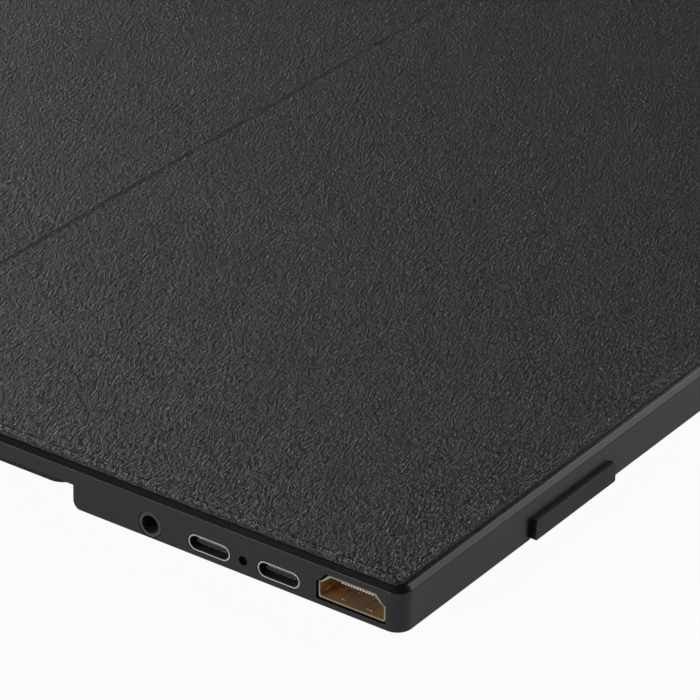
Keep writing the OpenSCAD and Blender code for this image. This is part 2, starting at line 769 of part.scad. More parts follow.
module spine_board() {
    t = leather_t;
    color("#6e6a63") placed()
        block([spine_lo[0] + t, spine_lo[1] + lining_t, spine_lo[2] + t],
            [spine_hi[0] - t, spine_hi[1] - t, spine_hi[2] - t]);
}

module spine_lining() {
    t = leather_t;
    color("#232324") placed()
        block([spine_lo[0] + t, spine_lo[1], spine_lo[2] + t],
            [spine_hi[0] - t, spine_lo[1] + lining_t, spine_hi[2] - t]);
}

// Front flap: one outline, cut in two at the crease
flap_lo = [flap_side_in, flap_front_in];
flap_hi = [body_w - flap_side_in, flap_end_y];
flap_profile = concat(
    corner_arc([2, flap_z0], [0, flap_z0], [0, flap_z1], flap_turn_r, 4),
    corner_arc([0, flap_z0], [0, flap_z1], [2, flap_z1], flap_edge_r, 4));

// Pressed border line that runs round the whole flap
module border_line() {
    grow = [border_side_in, border_front_in];
    step = [border_w, border_w];
    translate([0, 0, flap_z1 - border_depth]) linear_extrude(border_depth + over) difference() {
        round_rect(flap_lo + grow, flap_hi - grow, border_r);
        round_rect(flap_lo + grow + step, flap_hi - grow - step, border_r - border_w);
    }
}

// The fold: a slit through the flap under a shallow pressed valley
module crease_cut() {
    along_x(-over, body_w + over) translate([crease_y, 0])
        polygon([[-crease_gap, flap_z0 - over], [crease_gap, flap_z0 - over],
            [crease_gap, flap_z1 - crease_depth], [crease_half, flap_z1 + 0.01],
            [-crease_half, flap_z1 + 0.01], [-crease_gap, flap_z1 - crease_depth]]);
}

// Keeps the half of the flap on one side of the crease: 1 towards the spine, -1 towards the free edge
module flap_half(side) {
    difference() {
        children();
        crease_cut();
        block([-over, side > 0 ? -over : crease_y, 0],
            [body_w + over, side > 0 ? crease_y : body_d + 2 * over, 2 * flap_z1]);
    }
}

module flap_leather(side) {
    t = leather_t;
    color("#2e2e2f") placed() flap_half(side) difference() {
        edged_plate(flap_lo, flap_hi, flap_r, flap_profile);
        translate([0, 0, flap_z0 - over]) linear_extrude(flap_t - t + over)
            round_rect(flap_lo + [t, t], flap_hi - [t, t], flap_r - t);
        border_line();
    }
}

module flap_core(side, z0, t) {
    inset = [leather_t, leather_t];
    flap_half(side) translate([0, 0, z0]) linear_extrude(t)
        round_rect(flap_lo + inset, flap_hi - inset, flap_r - leather_t);
}

module upper_flap_leather() {
    flap_leather(1);
}

module upper_flap_board() {
    color("#6e6a63") placed() flap_core(1, flap_z0 + lining_t, board_t);
}

module upper_flap_lining() {
    color("#232324") placed() flap_core(1, flap_z0, lining_t);
}

module lower_flap_leather() {
    flap_leather(-1);
}

module lower_flap_board() {
    color("#6e6a63") placed() difference() {
        flap_core(-1, flap_z0 + lining_t, board_t);
        for (x = catch_xs) block([x - catch_half - catch_gap, catch_y[0] - catch_gap, flap_z0],
            [x + catch_half + catch_gap, catch_y[1] + catch_gap, flap_z1]);
    }
}

module lower_flap_lining() {
    color("#232324") placed() flap_core(-1, flap_z0, lining_t);
}

module flap_magnets() {
    color("#9b9da0") placed() for (x = catch_xs)
        block([x - catch_half, catch_y[0], flap_z0 + lining_t],
            [x + catch_half, catch_y[1], flap_z0 + lining_t + board_t]);
}

rear_housing();
front_bezel();
lcd_glass();
backlight_unit();
display_adhesive();
driver_board();
panel_ribbon();
ribbon_connectors();
main_board();
board_chips();
board_shield();
board_screws();
usb_port_upper();
usb_port_lower();
usb_tongues();
usb_contacts();
hdmi_port();
hdmi_tongue();
hdmi_contacts();
audio_jack();
jack_spring();
indicator_lens();
speaker_left();
speaker_right();
speaker_leads();
foot_pad_left();
foot_pad_right();
bezel_magnets();
keeper_plates();
key_board();
key_switches();
key_ribbon();
rocker_bracket();
rocker_pin();
power_button();
menu_rocker();
back_panel_leather();
back_panel_board();
back_panel_lining();
cover_magnets();
spine_leather();
spine_board();
spine_lining();
upper_flap_leather();
upper_flap_board();
upper_flap_lining();
lower_flap_leather();
lower_flap_board();
lower_flap_lining();
flap_magnets();
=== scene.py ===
"""Looks of a portable monitor that lies on its back under its closed leather-grained cover."""

import bmesh
import bpy
import json
import math
from mathutils import Matrix, Vector


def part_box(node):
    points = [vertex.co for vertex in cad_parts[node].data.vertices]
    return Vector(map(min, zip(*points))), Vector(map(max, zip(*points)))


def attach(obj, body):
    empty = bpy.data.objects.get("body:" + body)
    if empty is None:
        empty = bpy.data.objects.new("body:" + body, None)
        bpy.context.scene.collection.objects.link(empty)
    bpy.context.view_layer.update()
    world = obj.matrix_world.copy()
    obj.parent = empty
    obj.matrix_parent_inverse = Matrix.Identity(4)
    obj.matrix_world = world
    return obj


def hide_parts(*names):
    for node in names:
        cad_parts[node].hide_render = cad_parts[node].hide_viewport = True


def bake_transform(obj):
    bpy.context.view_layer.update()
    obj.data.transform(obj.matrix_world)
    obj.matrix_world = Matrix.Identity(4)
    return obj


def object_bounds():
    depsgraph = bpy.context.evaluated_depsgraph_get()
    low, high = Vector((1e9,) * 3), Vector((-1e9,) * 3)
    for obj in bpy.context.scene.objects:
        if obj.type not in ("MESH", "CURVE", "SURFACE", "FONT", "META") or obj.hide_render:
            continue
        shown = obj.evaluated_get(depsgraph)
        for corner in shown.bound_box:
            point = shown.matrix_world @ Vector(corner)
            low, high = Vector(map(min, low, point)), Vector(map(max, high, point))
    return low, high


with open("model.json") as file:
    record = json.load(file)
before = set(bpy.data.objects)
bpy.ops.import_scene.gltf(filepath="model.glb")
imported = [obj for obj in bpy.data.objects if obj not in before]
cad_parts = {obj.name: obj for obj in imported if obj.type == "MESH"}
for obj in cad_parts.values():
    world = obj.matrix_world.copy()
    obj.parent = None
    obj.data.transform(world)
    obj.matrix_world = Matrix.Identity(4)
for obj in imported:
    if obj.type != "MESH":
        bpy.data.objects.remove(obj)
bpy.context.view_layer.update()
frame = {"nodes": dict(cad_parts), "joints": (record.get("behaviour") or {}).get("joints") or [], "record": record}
nodes = frame["nodes"]

MM = 0.001

# The housing's lowest corner beside the sockets: places below are in mm from it
CORNER = Vector(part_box("rear_housing")[0])


def at(x, y, z):
    """A point in the frame, from mm beside the housing's corner."""
    return CORNER + Vector((x, y, z)) * MM


def node_mm(name):
    """Lowest and highest corner of a CAD node, in mm from the housing's corner."""
    low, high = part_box(name)
    return (Vector(low) - CORNER) / MM, (Vector(high) - CORNER) / MM


# Camera, fitted to the photograph's edges and sockets
LENS = 229.47
SENSOR = 36.0
PHOTO_SIZE = 700
CAMERA_PLACE = (-529.10, -355.66, 405.17)
YAW, PITCH, ROLL = 34.769, 28.779, 1.155


def make_camera():
    yaw, pitch, roll = (math.radians(a) for a in (YAW, PITCH, ROLL))
    ahead = Vector((math.cos(yaw) * math.cos(pitch), math.sin(yaw) * math.cos(pitch), -math.sin(pitch)))
    side = ahead.cross(Vector((0, 0, 1))).normalized()
    over = side.cross(ahead)
    right = math.cos(roll) * side + math.sin(roll) * over
    up = math.cos(roll) * over - math.sin(roll) * side
    data = bpy.data.cameras.new("camera")
    data.sensor_fit = "HORIZONTAL"
    data.sensor_width = SENSOR
    data.lens = LENS
    # Half a pixel, because the fit counted from the middle of the photograph's first pixel
    data.shift_x = -0.5 / PHOTO_SIZE
    data.shift_y = 0.5 / PHOTO_SIZE
    data.clip_start = 0.01
    camera = bpy.data.objects.new("camera", data)
    turn = Matrix((right, up, -ahead)).transposed().to_4x4()
    camera.matrix_world = Matrix.Translation(at(*CAMERA_PLACE)) @ turn
    bpy.context.collection.objects.link(camera)
    bpy.context.scene.camera = camera


# Materials: noise scales are per mm, depths of relief are in mm


class Shader:
    """A material's nodes, with coordinates in mm."""

    def __init__(self, name, colour, roughness, metallic=0.0, specular=0.5):
        self.material = bpy.data.materials.new(name)
        self.material.use_nodes = True
        self.tree = self.material.node_tree
        self.surface = self.tree.nodes["Principled BSDF"]
        self.surface.inputs["Base Color"].default_value = (*colour, 1)
        self.surface.inputs["Roughness"].default_value = roughness
        self.surface.inputs["Metallic"].default_value = metallic
        self.surface.inputs["Specular IOR Level"].default_value = specular
        place = self.add("ShaderNodeTexCoord")
        scale = self.add("ShaderNodeVectorMath", operation="SCALE")
        scale.inputs["Scale"].default_value = 1 / MM
        self.link(place.outputs["Object"], scale.inputs[0])
        self.mm = scale.outputs[0]

    def add(self, kind, **settings):
        node = self.tree.nodes.new(kind)
        for key, value in settings.items():
            setattr(node, key, value)
        return node

    def link(self, a, b):
        self.tree.links.new(a, b)

    def noise(self, scale, detail=2.0, roughness=0.5, vector=None, output="Fac"):
        node = self.add("ShaderNodeTexNoise")
        node.inputs["Scale"].default_value = scale
        node.inputs["Detail"].default_value = detail
        node.inputs["Roughness"].default_value = roughness
        self.link(vector or self.mm, node.inputs["Vector"])
        return node.outputs[output]

    def stretched(self, vector, factors):
        node = self.add("ShaderNodeVectorMath", operation="MULTIPLY")
        node.inputs[1].default_value = factors
        self.link(vector, node.inputs[0])
        return node.outputs[0]

    def math(self, operation, a, b=None, c=None):
        node = self.add("ShaderNodeMath", operation=operation)
        for i, value in enumerate((a, b, c)):
            if value is None:
                continue
            if isinstance(value, (int, float)):
                node.inputs[i].default_value = value
            else:
                self.link(value, node.inputs[i])
        return node.outputs[0]

    def total(self, *weighted):
        """The sum of (value, weight) pairs."""
        result = 0.0
        for value, weight in weighted:
            result = self.math("MULTIPLY_ADD", value, weight, result)
        return result

    def ranged(self, value, low, high, to_low=0.0, to_high=1.0):
        node = self.add("ShaderNodeMapRange", interpolation_type="SMOOTHSTEP")
        for key, number in zip(("From Min", "From Max", "To Min", "To Max"), (low, high, to_low, to_high)):
            node.inputs[key].default_value = number
        self.link(value, node.inputs["Value"])
        return node.outputs["Result"]

    def colours(self, value, dark, light):
        ramp = self.add("ShaderNodeValToRGB")
        ramp.color_ramp.elements[0].color = (*dark, 1)
        ramp.color_ramp.elements[1].color = (*light, 1)
        self.link(value, ramp.inputs["Fac"])
        self.link(ramp.outputs["Color"], self.surface.inputs["Base Color"])

    def rough(self, value):
        self.link(value, self.surface.inputs["Roughness"])

    def bump(self, height, depth_mm, edge_mm=0.0):
        """Relief on the surface, and edges that catch light as if rounded to edge_mm."""
        node = self.add("ShaderNodeBump")
        node.inputs["Distance"].default_value = depth_mm * MM
        self.link(height, node.inputs["Height"])
        self.link(node.outputs["Normal"], self.surface.inputs["Normal"])
        if edge_mm:
            edge = self.add("ShaderNodeBevel", samples=6)
            edge.inputs["Radius"].default_value = edge_mm * MM
            self.link(edge.outputs["Normal"], node.inputs["Normal"])


def shade(colour, factor):
    return tuple(c * factor for c in colour)


def moulded(name, colour, roughness=0.5, metallic=0.0, grain=6.0, depth=0.012, spread=0.12, edge=0.0):
    """A fine-textured plastic, rubber or metal surface with slight unevenness of colour and gloss."""
    shader = Shader(name, colour, roughness, metallic)
    fine = shader.noise(grain, detail=2.0)
    broad = shader.noise(0.06, detail=3.0)
    mixed = shader.total((fine, 0.5), (broad, 0.5))
    shader.colours(mixed, shade(colour, 1 - spread), shade(colour, 1 + spread))
    shader.rough(shader.ranged(mixed, 0.3, 0.7, roughness - 0.05, roughness + 0.05))
    shader.bump(fine, depth, edge)
    return shader.material


# Wrinkles of the leather, drawn out along X and curled by a slower noise
WRINKLES = 2.5
WRINKLE_STRETCH = (0.45, 1.15, 1.0)
CURL = 0.9
CURL_REACH = (1.1, 1.1, 1.1)  # mm
FINE_GRAIN = 2.6


def leather_grain(name, dark, light, roughness=0.4, depth=1.6):
    """Pressed synthetic leather: short curled wrinkles, about 0.9 mm by 0.35 mm, with painted shade in the valleys
    between them and lighter colour on their tops.
    """
    shader = Shader(name, light, roughness)
    pushed = shader.add("ShaderNodeVectorMath", operation="MULTIPLY_ADD")
    pushed.inputs[1].default_value = CURL_REACH
    shader.link(shader.noise(CURL, detail=1.0, output="Color"), pushed.inputs[0])
    shader.link(shader.mm, pushed.inputs[2])
    wrinkles = shader.noise(WRINKLES, detail=1.0, vector=shader.stretched(pushed.outputs[0], WRINKLE_STRETCH))
    fine = shader.noise(FINE_GRAIN, detail=1.0)
    height = shader.total((wrinkles, 1.6), (fine, 0.1))
    # The colour follows the wrinkles' height: painted shade, darker in the valleys, lighter on the tops.
    shader.colours(shader.ranged(height, 0.42, 1.0), dark, light)
    shader.rough(shader.ranged(height, 0.2, 0.9, roughness + 0.12, roughness - 0.06))
    shader.bump(height, depth)
    return shader.material


def napped(name, colour):
    """Short-napped microfibre lining."""
    shader = Shader(name, colour, 0.95, specular=0.2)
    nap = shader.noise(7.0, detail=4.0, roughness=0.7)
    drift = shader.noise(0.08, detail=3.0)
    mixed = shader.total((nap, 0.6), (drift, 0.4))
    shader.colours(mixed, shade(colour, 0.7), shade(colour, 1.35))
    shader.surface.inputs["Sheen Weight"].default_value = 0.25
    shader.surface.inputs["Sheen Roughness"].default_value = 0.5
    shader.bump(nap, 0.05)
    return shader.material


def screen_glass(name):
    """Anti-glare screen: almost black, with a very fine etched surface."""
    shader = Shader(name, (0.006, 0.007, 0.009), 0.32)
    fine = shader.noise(12.0, detail=1.0)
    shader.colours(fine, (0.005, 0.006, 0.008), (0.008, 0.009, 0.011))
    shader.bump(fine, 0.004)
    return shader.material


DRAWN_LINES = (0.15, 3.0, 3.0)  # long along X, the direction in which the shells are drawn


def drawn_metal(name, colour, roughness, metallic=1.0, edge=0.0, spread=0.15):
    """A drawn and plated metal shell, with faint lines along the drawing direction."""
    shader = Shader(name, colour, roughness, metallic)
    lines = shader.noise(2.5, detail=3.0, vector=shader.stretched(shader.mm, DRAWN_LINES))
    shader.colours(lines, shade(colour, 1 - spread), shade(colour, 1 + spread))
    shader.rough(shader.ranged(lines, 0.3, 0.7, roughness - 0.4 * spread, roughness + 0.5 * spread))
    shader.bump(lines, 0.006, edge)
    return shader.material


def make_materials():
    return {
        "leather": leather_grain("cover leather", (0.004, 0.004, 0.004), (0.022, 0.0217, 0.0209)),
        "pressed": leather_grain("pressed leather", (0.006, 0.006, 0.006), (0.020, 0.0198, 0.0192), depth=0.3),
        "lining": napped("microfibre lining", (0.022, 0.022, 0.024)),
        "housing": moulded("satin housing", (0.014, 0.014, 0.014), 0.26, grain=9.0, depth=0.003, edge=0.1),
        "bezel": moulded("bezel plastic", (0.018, 0.018, 0.018), 0.22, grain=9.0, depth=0.003, edge=0.3),
        "screen": screen_glass("screen"),
        "foot_rubber": moulded("foot rubber", (0.020, 0.020, 0.0195), 0.45, grain=9.0, depth=0.004, edge=0.1),
        "video_shell": drawn_metal("gold-coloured shell", (0.95, 0.68, 0.40), 0.3, metallic=0.75,
                                   edge=0.05, spread=0.04),
        # The rim's front face is a greyer, darker gold than the shell.
        "video_rim": drawn_metal("greyer gold-coloured rim", (0.42, 0.36, 0.28), 0.4, metallic=0.6),
        # The nickel shells are painted dark, as painted shade inside the sockets; their cut rims keep the bright
        # nickel.
        "port_shell": drawn_metal("nickel shell with painted shade", (0.14, 0.14, 0.138), 0.3, metallic=0.8, edge=0.04),
        "port_rim": drawn_metal("bright nickel rim", (0.62, 0.62, 0.61), 0.3, metallic=0.7),
        "socket_insulator": moulded("socket insulator", (0.008, 0.008, 0.009), 0.4),
        "contacts": moulded("gilt contacts", (1.0, 0.95, 0.82), 0.3, metallic=0.2, depth=0.002),
        "jack_body": moulded("jack plastic", (0.055, 0.055, 0.055), 0.36, depth=0.004, edge=0.08),
        "indicator": moulded("smoked light pipe", (0.006, 0.006, 0.007), 0.2, depth=0.002),
        "buttons": moulded("button plastic", (0.016, 0.016, 0.016), 0.3, grain=9.0, depth=0.003, edge=0.08),
        "stiffener": moulded("fibreboard", (0.20, 0.18, 0.15), 0.85, grain=2.0, depth=0.03, spread=0.3),
        "backlight": moulded("backlight frame", (0.75, 0.76, 0.78), 0.5),
        "adhesive": moulded("foam tape", (0.01, 0.01, 0.01), 0.8),
        "circuit_board": moulded("solder resist", (0.012, 0.09, 0.035), 0.35, grain=1.0),
        "ribbon": moulded("flexible film", (0.55, 0.34, 0.09), 0.35, grain=1.5),
        "connector_body": moulded("connector plastic", (0.78, 0.75, 0.66), 0.5),
        "chips": moulded("chip packages", (0.015, 0.015, 0.017), 0.55),
        "shield": drawn_metal("tinned shield", (0.5, 0.5, 0.5), 0.35),
        "screws": drawn_metal("plated steel", (0.35, 0.35, 0.36), 0.35),
        "speaker": moulded("speaker plastic", (0.012, 0.012, 0.013), 0.55),
        "lead_insulation": moulded("lead insulation", (0.02, 0.01, 0.01), 0.5),
        "magnets": drawn_metal("magnet plating", (0.55, 0.55, 0.56), 0.25),
        "switches": drawn_metal("switch covers", (0.5, 0.5, 0.51), 0.35),
    }


def dress_nodes(materials):
    """Gives every CAD node the material of its slot."""
    for part in frame["record"]["subparts"]:
        obj = nodes[part["node"]]
        obj.data.materials.clear()
        obj.data.materials.append(materials[part["material_slot"]])


SHELL_RIMS = {"hdmi_port": "video_rim", "usb_port_upper": "port_rim", "usb_port_lower": "port_rim"}
RIM_DEPTH = 0.05 * MM


def dress_rims(materials):
    """The cut front faces of the socket shells take colours of their own: the bright nickel beside the nickel shells'
    painted shade, and a greyer, darker gold than the gold-coloured shell.
    """
    for name, rim in SHELL_RIMS.items():
        obj = nodes[name]
        obj.data.materials.append(materials[rim])
        front = min(v.co.x for v in obj.data.vertices) + RIM_DEPTH
        for face in obj.data.polygons:
            if face.center.x < front:
                face.material_index = 1


# Meshes


WELD, DEGENERATE = 0.002 * MM, 0.001 * MM
SHARP_ANGLE = math.radians(40)


def finish_mesh(name, points, faces, materials, kinds=None):
    """An object from points in mm from the housing's corner, welded, with smooth faces between sharp edges.
    kinds gives each face's number in materials."""
    mesh = bpy.data.meshes.new(name)
    mesh.from_pydata([at(*p) for p in points], [], faces)
    for material in materials:
        mesh.materials.append(material)
    if kinds:
        mesh.polygons.foreach_set("material_index", kinds)
    work = bmesh.new()
    work.from_mesh(mesh)
    bmesh.ops.remove_doubles(work, verts=work.verts, dist=WELD)
    bmesh.ops.dissolve_degenerate(work, dist=DEGENERATE, edges=work.edges)
    edges = [e for e in work.edges if e.is_boundary]
    if edges:
        bmesh.ops.holes_fill(work, edges=edges, sides=0)
    bmesh.ops.recalc_face_normals(work, faces=work.faces)
    work.to_mesh(mesh)
    work.free()
    mesh.shade_smooth()
    mesh.set_sharp_from_angle(angle=SHARP_ANGLE)
    obj = bpy.data.objects.new(name, mesh)
    bpy.context.collection.objects.link(obj)
    return obj


def spaced(low, high, step):
    """Even stations from low to high, about step apart."""
    count = max(1, round((high - low) / step))
    return [low + (high - low) * i / count for i in range(count + 1)]


ROUND_STEPS = 5
CORNER_STEPS = 10


def edge_round(radius):
    """(inset, distance from the face) round a quarter circle, from a plate's side to its face."""
    turns = [0.5 * math.pi * i / ROUND_STEPS for i in range(ROUND_STEPS + 1)]
    return [(radius * (1 - math.cos(a)), radius * (1 - math.sin(a))) for a in turns]


def corner_path(low, inset, reach, radius):
    """Points round the corner at low, from the far end of its Y side to the far end of its X side. The X side's
    inset comes first in inset and reach, and the path starts and ends reach from the outline's corner."""
    x, y = low[0] + inset[0], low[1] + inset[1]
    radius = max(0.0, min(radius, reach[0] - inset[0], reach[1] - inset[1]))
    points = [(x, low[1] + reach[1])]
    for i in range(CORNER_STEPS + 1):
        angle = math.pi + 0.5 * math.pi * i / CORNER_STEPS
        points.append((x + radius + radius * math.cos(angle), y + radius + radius * math.sin(angle)))
    points.append((low[0] + reach[0], y))
    return points


def open_ring(low, high, inset, reach, radius, xs, ys):
    """A row of points round three sides of a plate: down one side, along the front, and back up."""
    corner = corner_path(low, inset, reach, radius)
    mirrored = [(low[0] + high[0] - x, y) for x, y in reversed(corner)]
    row = [(low[0] + inset[0], y) for y in reversed(ys[1:])]
    row += corner
    row += [(x, low[1] + inset[1]) for x in xs[1:-1]]
    row += mirrored
    row += [(high[0] - inset[0], y) for y in ys[1:]]
    return row


def flat_face(x, y):
    return 0.0


def nowhere(inset, y):
    return False


def plate(name, low, high, rim, back_z, materials, relief=flat_face, step=4.0, extra_ys=(), pressed=nowhere):
    """A closed plate with two round corners on its -Y side and a square end on its +Y side.
    rim lists (inset from the sides, inset from the front, z, corner radius) from the back edge over the rim to the
    face, and relief(x, y) is added to the face. extra_ys are further stations across the plate, and pressed(inset, y)
    says where the face is of the second material."""
    reach = rim[-1][:2]
    face_z = rim[-1][2]
    xs = spaced(low[0] + reach[0], high[0] - reach[0], step)
    ys = sorted(set(spaced(low[1] + reach[1], high[1], step)) | set(extra_ys))
    points, faces, kinds = [], [], []

    def add_row(row, z, lift):
        start = len(points)
        for x, y in row:
            points.append((x, y, z + (relief(x, y) if lift else 0.0)))
        return start

    def bridge(a, b, count, kind=0):
        for i in range(count - 1):
            faces.append((a + i, a + i + 1, b + i + 1, b + i))
            kinds.append(kind)

    # The first two rows of the rim are on the plate's side, and take no relief
    rows = [(open_ring(low, high, (0.0, 0.0), reach, rim[0][3], xs, ys), back_z, False)]
    rows += [(open_ring(low, high, (side, front), reach, radius, xs, ys), z, i > 1)
             for i, (side, front, z, radius) in enumerate(rim)]
    starts = [add_row(*row) for row in rows]
    insets = [0.0] + [side for side, _, _, _ in rim]
    for a, b, near, far in zip(starts, starts[1:], insets, insets[1:]):
        bridge(a, b, len(rows[0][0]), int(pressed(0.5 * (near + far), low[1])))
    for z, lift in ((face_z, True), (back_z, False)):
        grid = [add_row([(x, y) for x in xs], z, lift) for y in ys]
        for a, b, near, far in zip(grid, grid[1:], ys, ys[1:]):
            bridge(a, b, len(xs), int(lift and pressed(reach[0], 0.5 * (near + far))))
    # The back's margin, between its outer row and its grid
    back_in = add_row(open_ring(low, high, reach, reach, 0.0, xs, ys), back_z, False)
    bridge(back_in, starts[0], len(rows[0][0]))
    return finish_mesh(name, points, faces, materials, kinds=kinds)


def swept(name, stations, materials):
    """A closed strip: each station is a closed loop of points, and both end loops are capped."""
    points = [p for loop in stations for p in loop]
    size = len(stations[0])
    faces = []
    for s in range(len(stations) - 1):
        for i in range(size):
            j = (i + 1) % size
            faces.append((s * size + i, s * size + j, (s + 1) * size + j, (s + 1) * size + i))
    faces.append(tuple(range(size)))
    faces.append(tuple((len(stations) - 1) * size + i for i in reversed(range(size))))
    return finish_mesh(name, points, faces, materials)


# Front flap of the cover


FLAP_LOW = node_mm("lower_flap_leather")[0]
FLAP_HIGH = node_mm("upper_flap_leather")[1]
CREASE = next(j for j in frame["joints"] if j["name"] == "crease_hinge")
CREASE_Y = (CREASE["pos_m"][1] - CORNER.y) / MM
FLAP_RADIUS = 1.45
FLAP_ROUND = 0.3
FACE_REACH = 4.0  # the rim's rows of points end this far inside the flap's sides
BORDER = 1.65  # middle of the pressed line from the flap's sides
BORDER_MORE = 0.44  # and that much further from its front and from its edge at the spine
BORDER_RADIUS = 1.8
SEAM_Y = FLAP_HIGH.y - BORDER - BORDER_MORE
LINING_T = 0.2
LINING_INSET = 0.6
LINING_SPINE_GAP = 0.4
LINING_BEVEL = 0.06

# Pressed lines across their width: (place of a lip or valley, height, half width), towards the back or the inside
CREASE_LINE = ((-0.24, 0.10, 0.18), (0.16, -0.15, 0.19), (0.6, 0.05, 0.18))
BORDER_LINE = ((-0.28, 0.05, 0.16), (0.08, -0.12, 0.13), (0.42, 0.02, 0.2))
CREASE_SMOOTH, BORDER_SMOOTH = 0.7, 0.4  # the leather is pressed smooth this far to both sides of them

# Rows of points beside the middle of the border line, towards the flap's edge and away from it
TO_EDGE = (0.07, 0.14, 0.22, 0.3, 0.38, 0.47, 0.56, 0.65, 0.75)
TO_FACE = (0.07, 0.14, 0.22, 0.3, 0.38, 0.46, 0.55, 0.65, 0.8)

# Height of the face's very slight swell, and how fast it rises and falls along X and Y
SWELL, SWELL_X, SWELL_Y = 0.012, 0.047, 0.061


def line_relief(off, line):
    return sum(height * math.exp(-(((off - place) / width) ** 2)) for place, height, width in line)


def eased(value, low, high):
    t = min(1.0, max(0.0, (value - low) / (high - low)))
    return t * t * (3 - 2 * t)


def border_relief(inset):
    return line_relief(inset - BORDER, BORDER_LINE)


def is_pressed(inset, y):
    """Where the leather is pressed smooth: the rounded edge, the border line and the crease."""
    at_border = min(abs(inset - BORDER), abs(y - SEAM_Y)) < BORDER_SMOOTH
    return inset < FLAP_ROUND or at_border or abs(y - CREASE_Y) < CREASE_SMOOTH


def flap_relief(x, y):
    """The crease, the border line beside the spine and a very slight swell."""
    side = min(x - FLAP_LOW.x, FLAP_HIGH.x - x)
    from_spine = FLAP_HIGH.y - BORDER_MORE - y
    swell = SWELL * math.sin(x * SWELL_X + 1.0) * math.sin(y * SWELL_Y + 0.4)
    far_line = border_relief(from_spine) if side > BORDER else 0.0
    return line_relief(y - CREASE_Y, CREASE_LINE) + far_line + swell


def flap_rim(top_z):
    """From the flap's lower edge over its rounded rim and the border line to its face."""
    rim = [(inset, inset, top_z - drop, FLAP_RADIUS) for inset, drop in edge_round(FLAP_ROUND)]
    steps = [-1.25, -1.0, -0.85, *(-s for s in reversed(TO_EDGE)), 0.0, *TO_FACE, 1.0, 1.4]
    past_line = BORDER + 0.6
    for inset in [BORDER + step for step in steps] + [FACE_REACH]:
        front = inset + BORDER_MORE * eased(inset, 0.4, 1.0)
        radius = FLAP_RADIUS + (BORDER_RADIUS - FLAP_RADIUS) * eased(inset, 0.3, 1.2)
        if inset > past_line:
            radius = BORDER_RADIUS * (FACE_REACH - inset) / (FACE_REACH - past_line)
        rim.append((inset, front, top_z + border_relief(inset), radius))
    return rim


def crease_stations():
    """Stations across the fold, close together at the valley and its lips."""
    steps = [0.05 * i for i in range(17)] + [0.9, 1.05, 1.25, 1.5, 1.8, 2.2, 2.7, 3.3]
    return [CREASE_Y + s for s in steps] + [CREASE_Y - s for s in steps[1:]]


def make_flap(leathers, lining):
    low, high = (FLAP_LOW.x, FLAP_LOW.y), (FLAP_HIGH.x, SEAM_Y)
    back = FLAP_LOW.z + LINING_T
    stations = crease_stations() + [SEAM_Y - s for s in (*TO_FACE, 1.1)]
    skin = plate("flap_leather", low, high, flap_rim(FLAP_HIGH.z), back, leathers, flap_relief,
                 step=2.0, extra_ys=stations, pressed=is_pressed)
    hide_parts("upper_flap_leather", "lower_flap_leather")
    radius = FLAP_RADIUS - LINING_INSET
    bottom = FLAP_LOW.z
    edge = [(0.0, 0.0, bottom + LINING_BEVEL, radius), (LINING_BEVEL, LINING_BEVEL, bottom, radius),
            (3.0, 3.0, bottom, 0.0)]
    cloth = plate("flap_lining", (low[0] + LINING_INSET, low[1] + LINING_INSET),
                  (high[0] - LINING_INSET, FLAP_HIGH.y - LINING_SPINE_GAP),
                  edge, back, [lining], extra_ys=crease_stations())
    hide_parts("upper_flap_lining", "lower_flap_lining")
    for piece in (skin, cloth):
        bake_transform(piece)


# Spine: leather that wraps the two edges between the flap and the back panel


PANEL_LOW, PANEL_HIGH = node_mm("back_panel_leather")
SPINE_LOW, SPINE_HIGH = node_mm("spine_leather")
SKIN_T = 0.38
WRAP_RADIUS = 1.1
PANEL_OVERLAP = 0.9  # the spine's leather covers this much of the back panel
STRIP_ENDS = ((0.0, 0.26), (0.05, 0.14), (0.14, 0.05), (0.26, 0.0))  # (from the end, sunk below the face)


def arc(centre, radius, start, end, count=8):
    """Points of an arc in the (y, z) plane, angles in degrees from +Y."""
    turns = [math.radians(start + (end - start) * i / count) for i in range(count + 1)]
    return [(centre[0] + radius * math.cos(a), centre[1] + radius * math.sin(a)) for a in turns]


def strip(name, path, material):
    """A leather strip along X whose outer face follows a (y, z) path, rounded at both ends."""
    loops = []
    xs = [(FLAP_LOW.x + x, sunk) for x, sunk in STRIP_ENDS]
    xs += [(x, 0.0) for x in spaced(FLAP_LOW.x + 2, FLAP_HIGH.x - 2, 4.0)]
    xs += [(FLAP_HIGH.x - x, sunk) for x, sunk in reversed(STRIP_ENDS)]
    for x, sunk in xs:
        outer, inner = [], []
        for i, (y, z) in enumerate(path):
            before, after = path[max(i - 1, 0)], path[min(i + 1, len(path) - 1)]
            along = Vector((after[0] - before[0], after[1] - before[1])).normalized()
            inward = Vector((-along.y, along.x))
            outer.append((x, y + inward.x * sunk, z + inward.y * sunk))
            inner.append((x, y + inward.x * SKIN_T, z + inward.y * SKIN_T))
        loops.append(outer + inner[::-1])
    return swept(name, loops, [material])


def make_spine(leather):
    middle = 0.5 * (SPINE_LOW.z + SPINE_HIGH.z)
    out_y, top, bottom = SPINE_HIGH.y, FLAP_HIGH.z, PANEL_LOW.z
    line = [(SEAM_Y + s, top + border_relief(BORDER - s)) for s in (0.0, *TO_EDGE)]
    bend = arc((out_y - WRAP_RADIUS, top - WRAP_RADIUS), WRAP_RADIUS, 90, 0)
    upper = [(out_y, z) for z in spaced(middle, top - WRAP_RADIUS - 0.1, 0.5)]
    path = upper + bend[::-1] + line[::-1]
    piece = strip("spine_leather_upper", path, leather)
    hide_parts("spine_leather")
    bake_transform(piece)
    bend = arc((out_y - WRAP_RADIUS, bottom + WRAP_RADIUS), WRAP_RADIUS, -90, 0)
    flat = [(y, bottom) for y in spaced(PANEL_HIGH.y - PANEL_OVERLAP, out_y - WRAP_RADIUS - 0.2, 0.4)]
    lower = [(out_y, z) for z in spaced(bottom + WRAP_RADIUS + 0.1, middle, 0.5)]
    piece = strip("spine_leather_lower", flat + bend + lower, leather)
    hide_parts("spine_leather")
    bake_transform(piece)


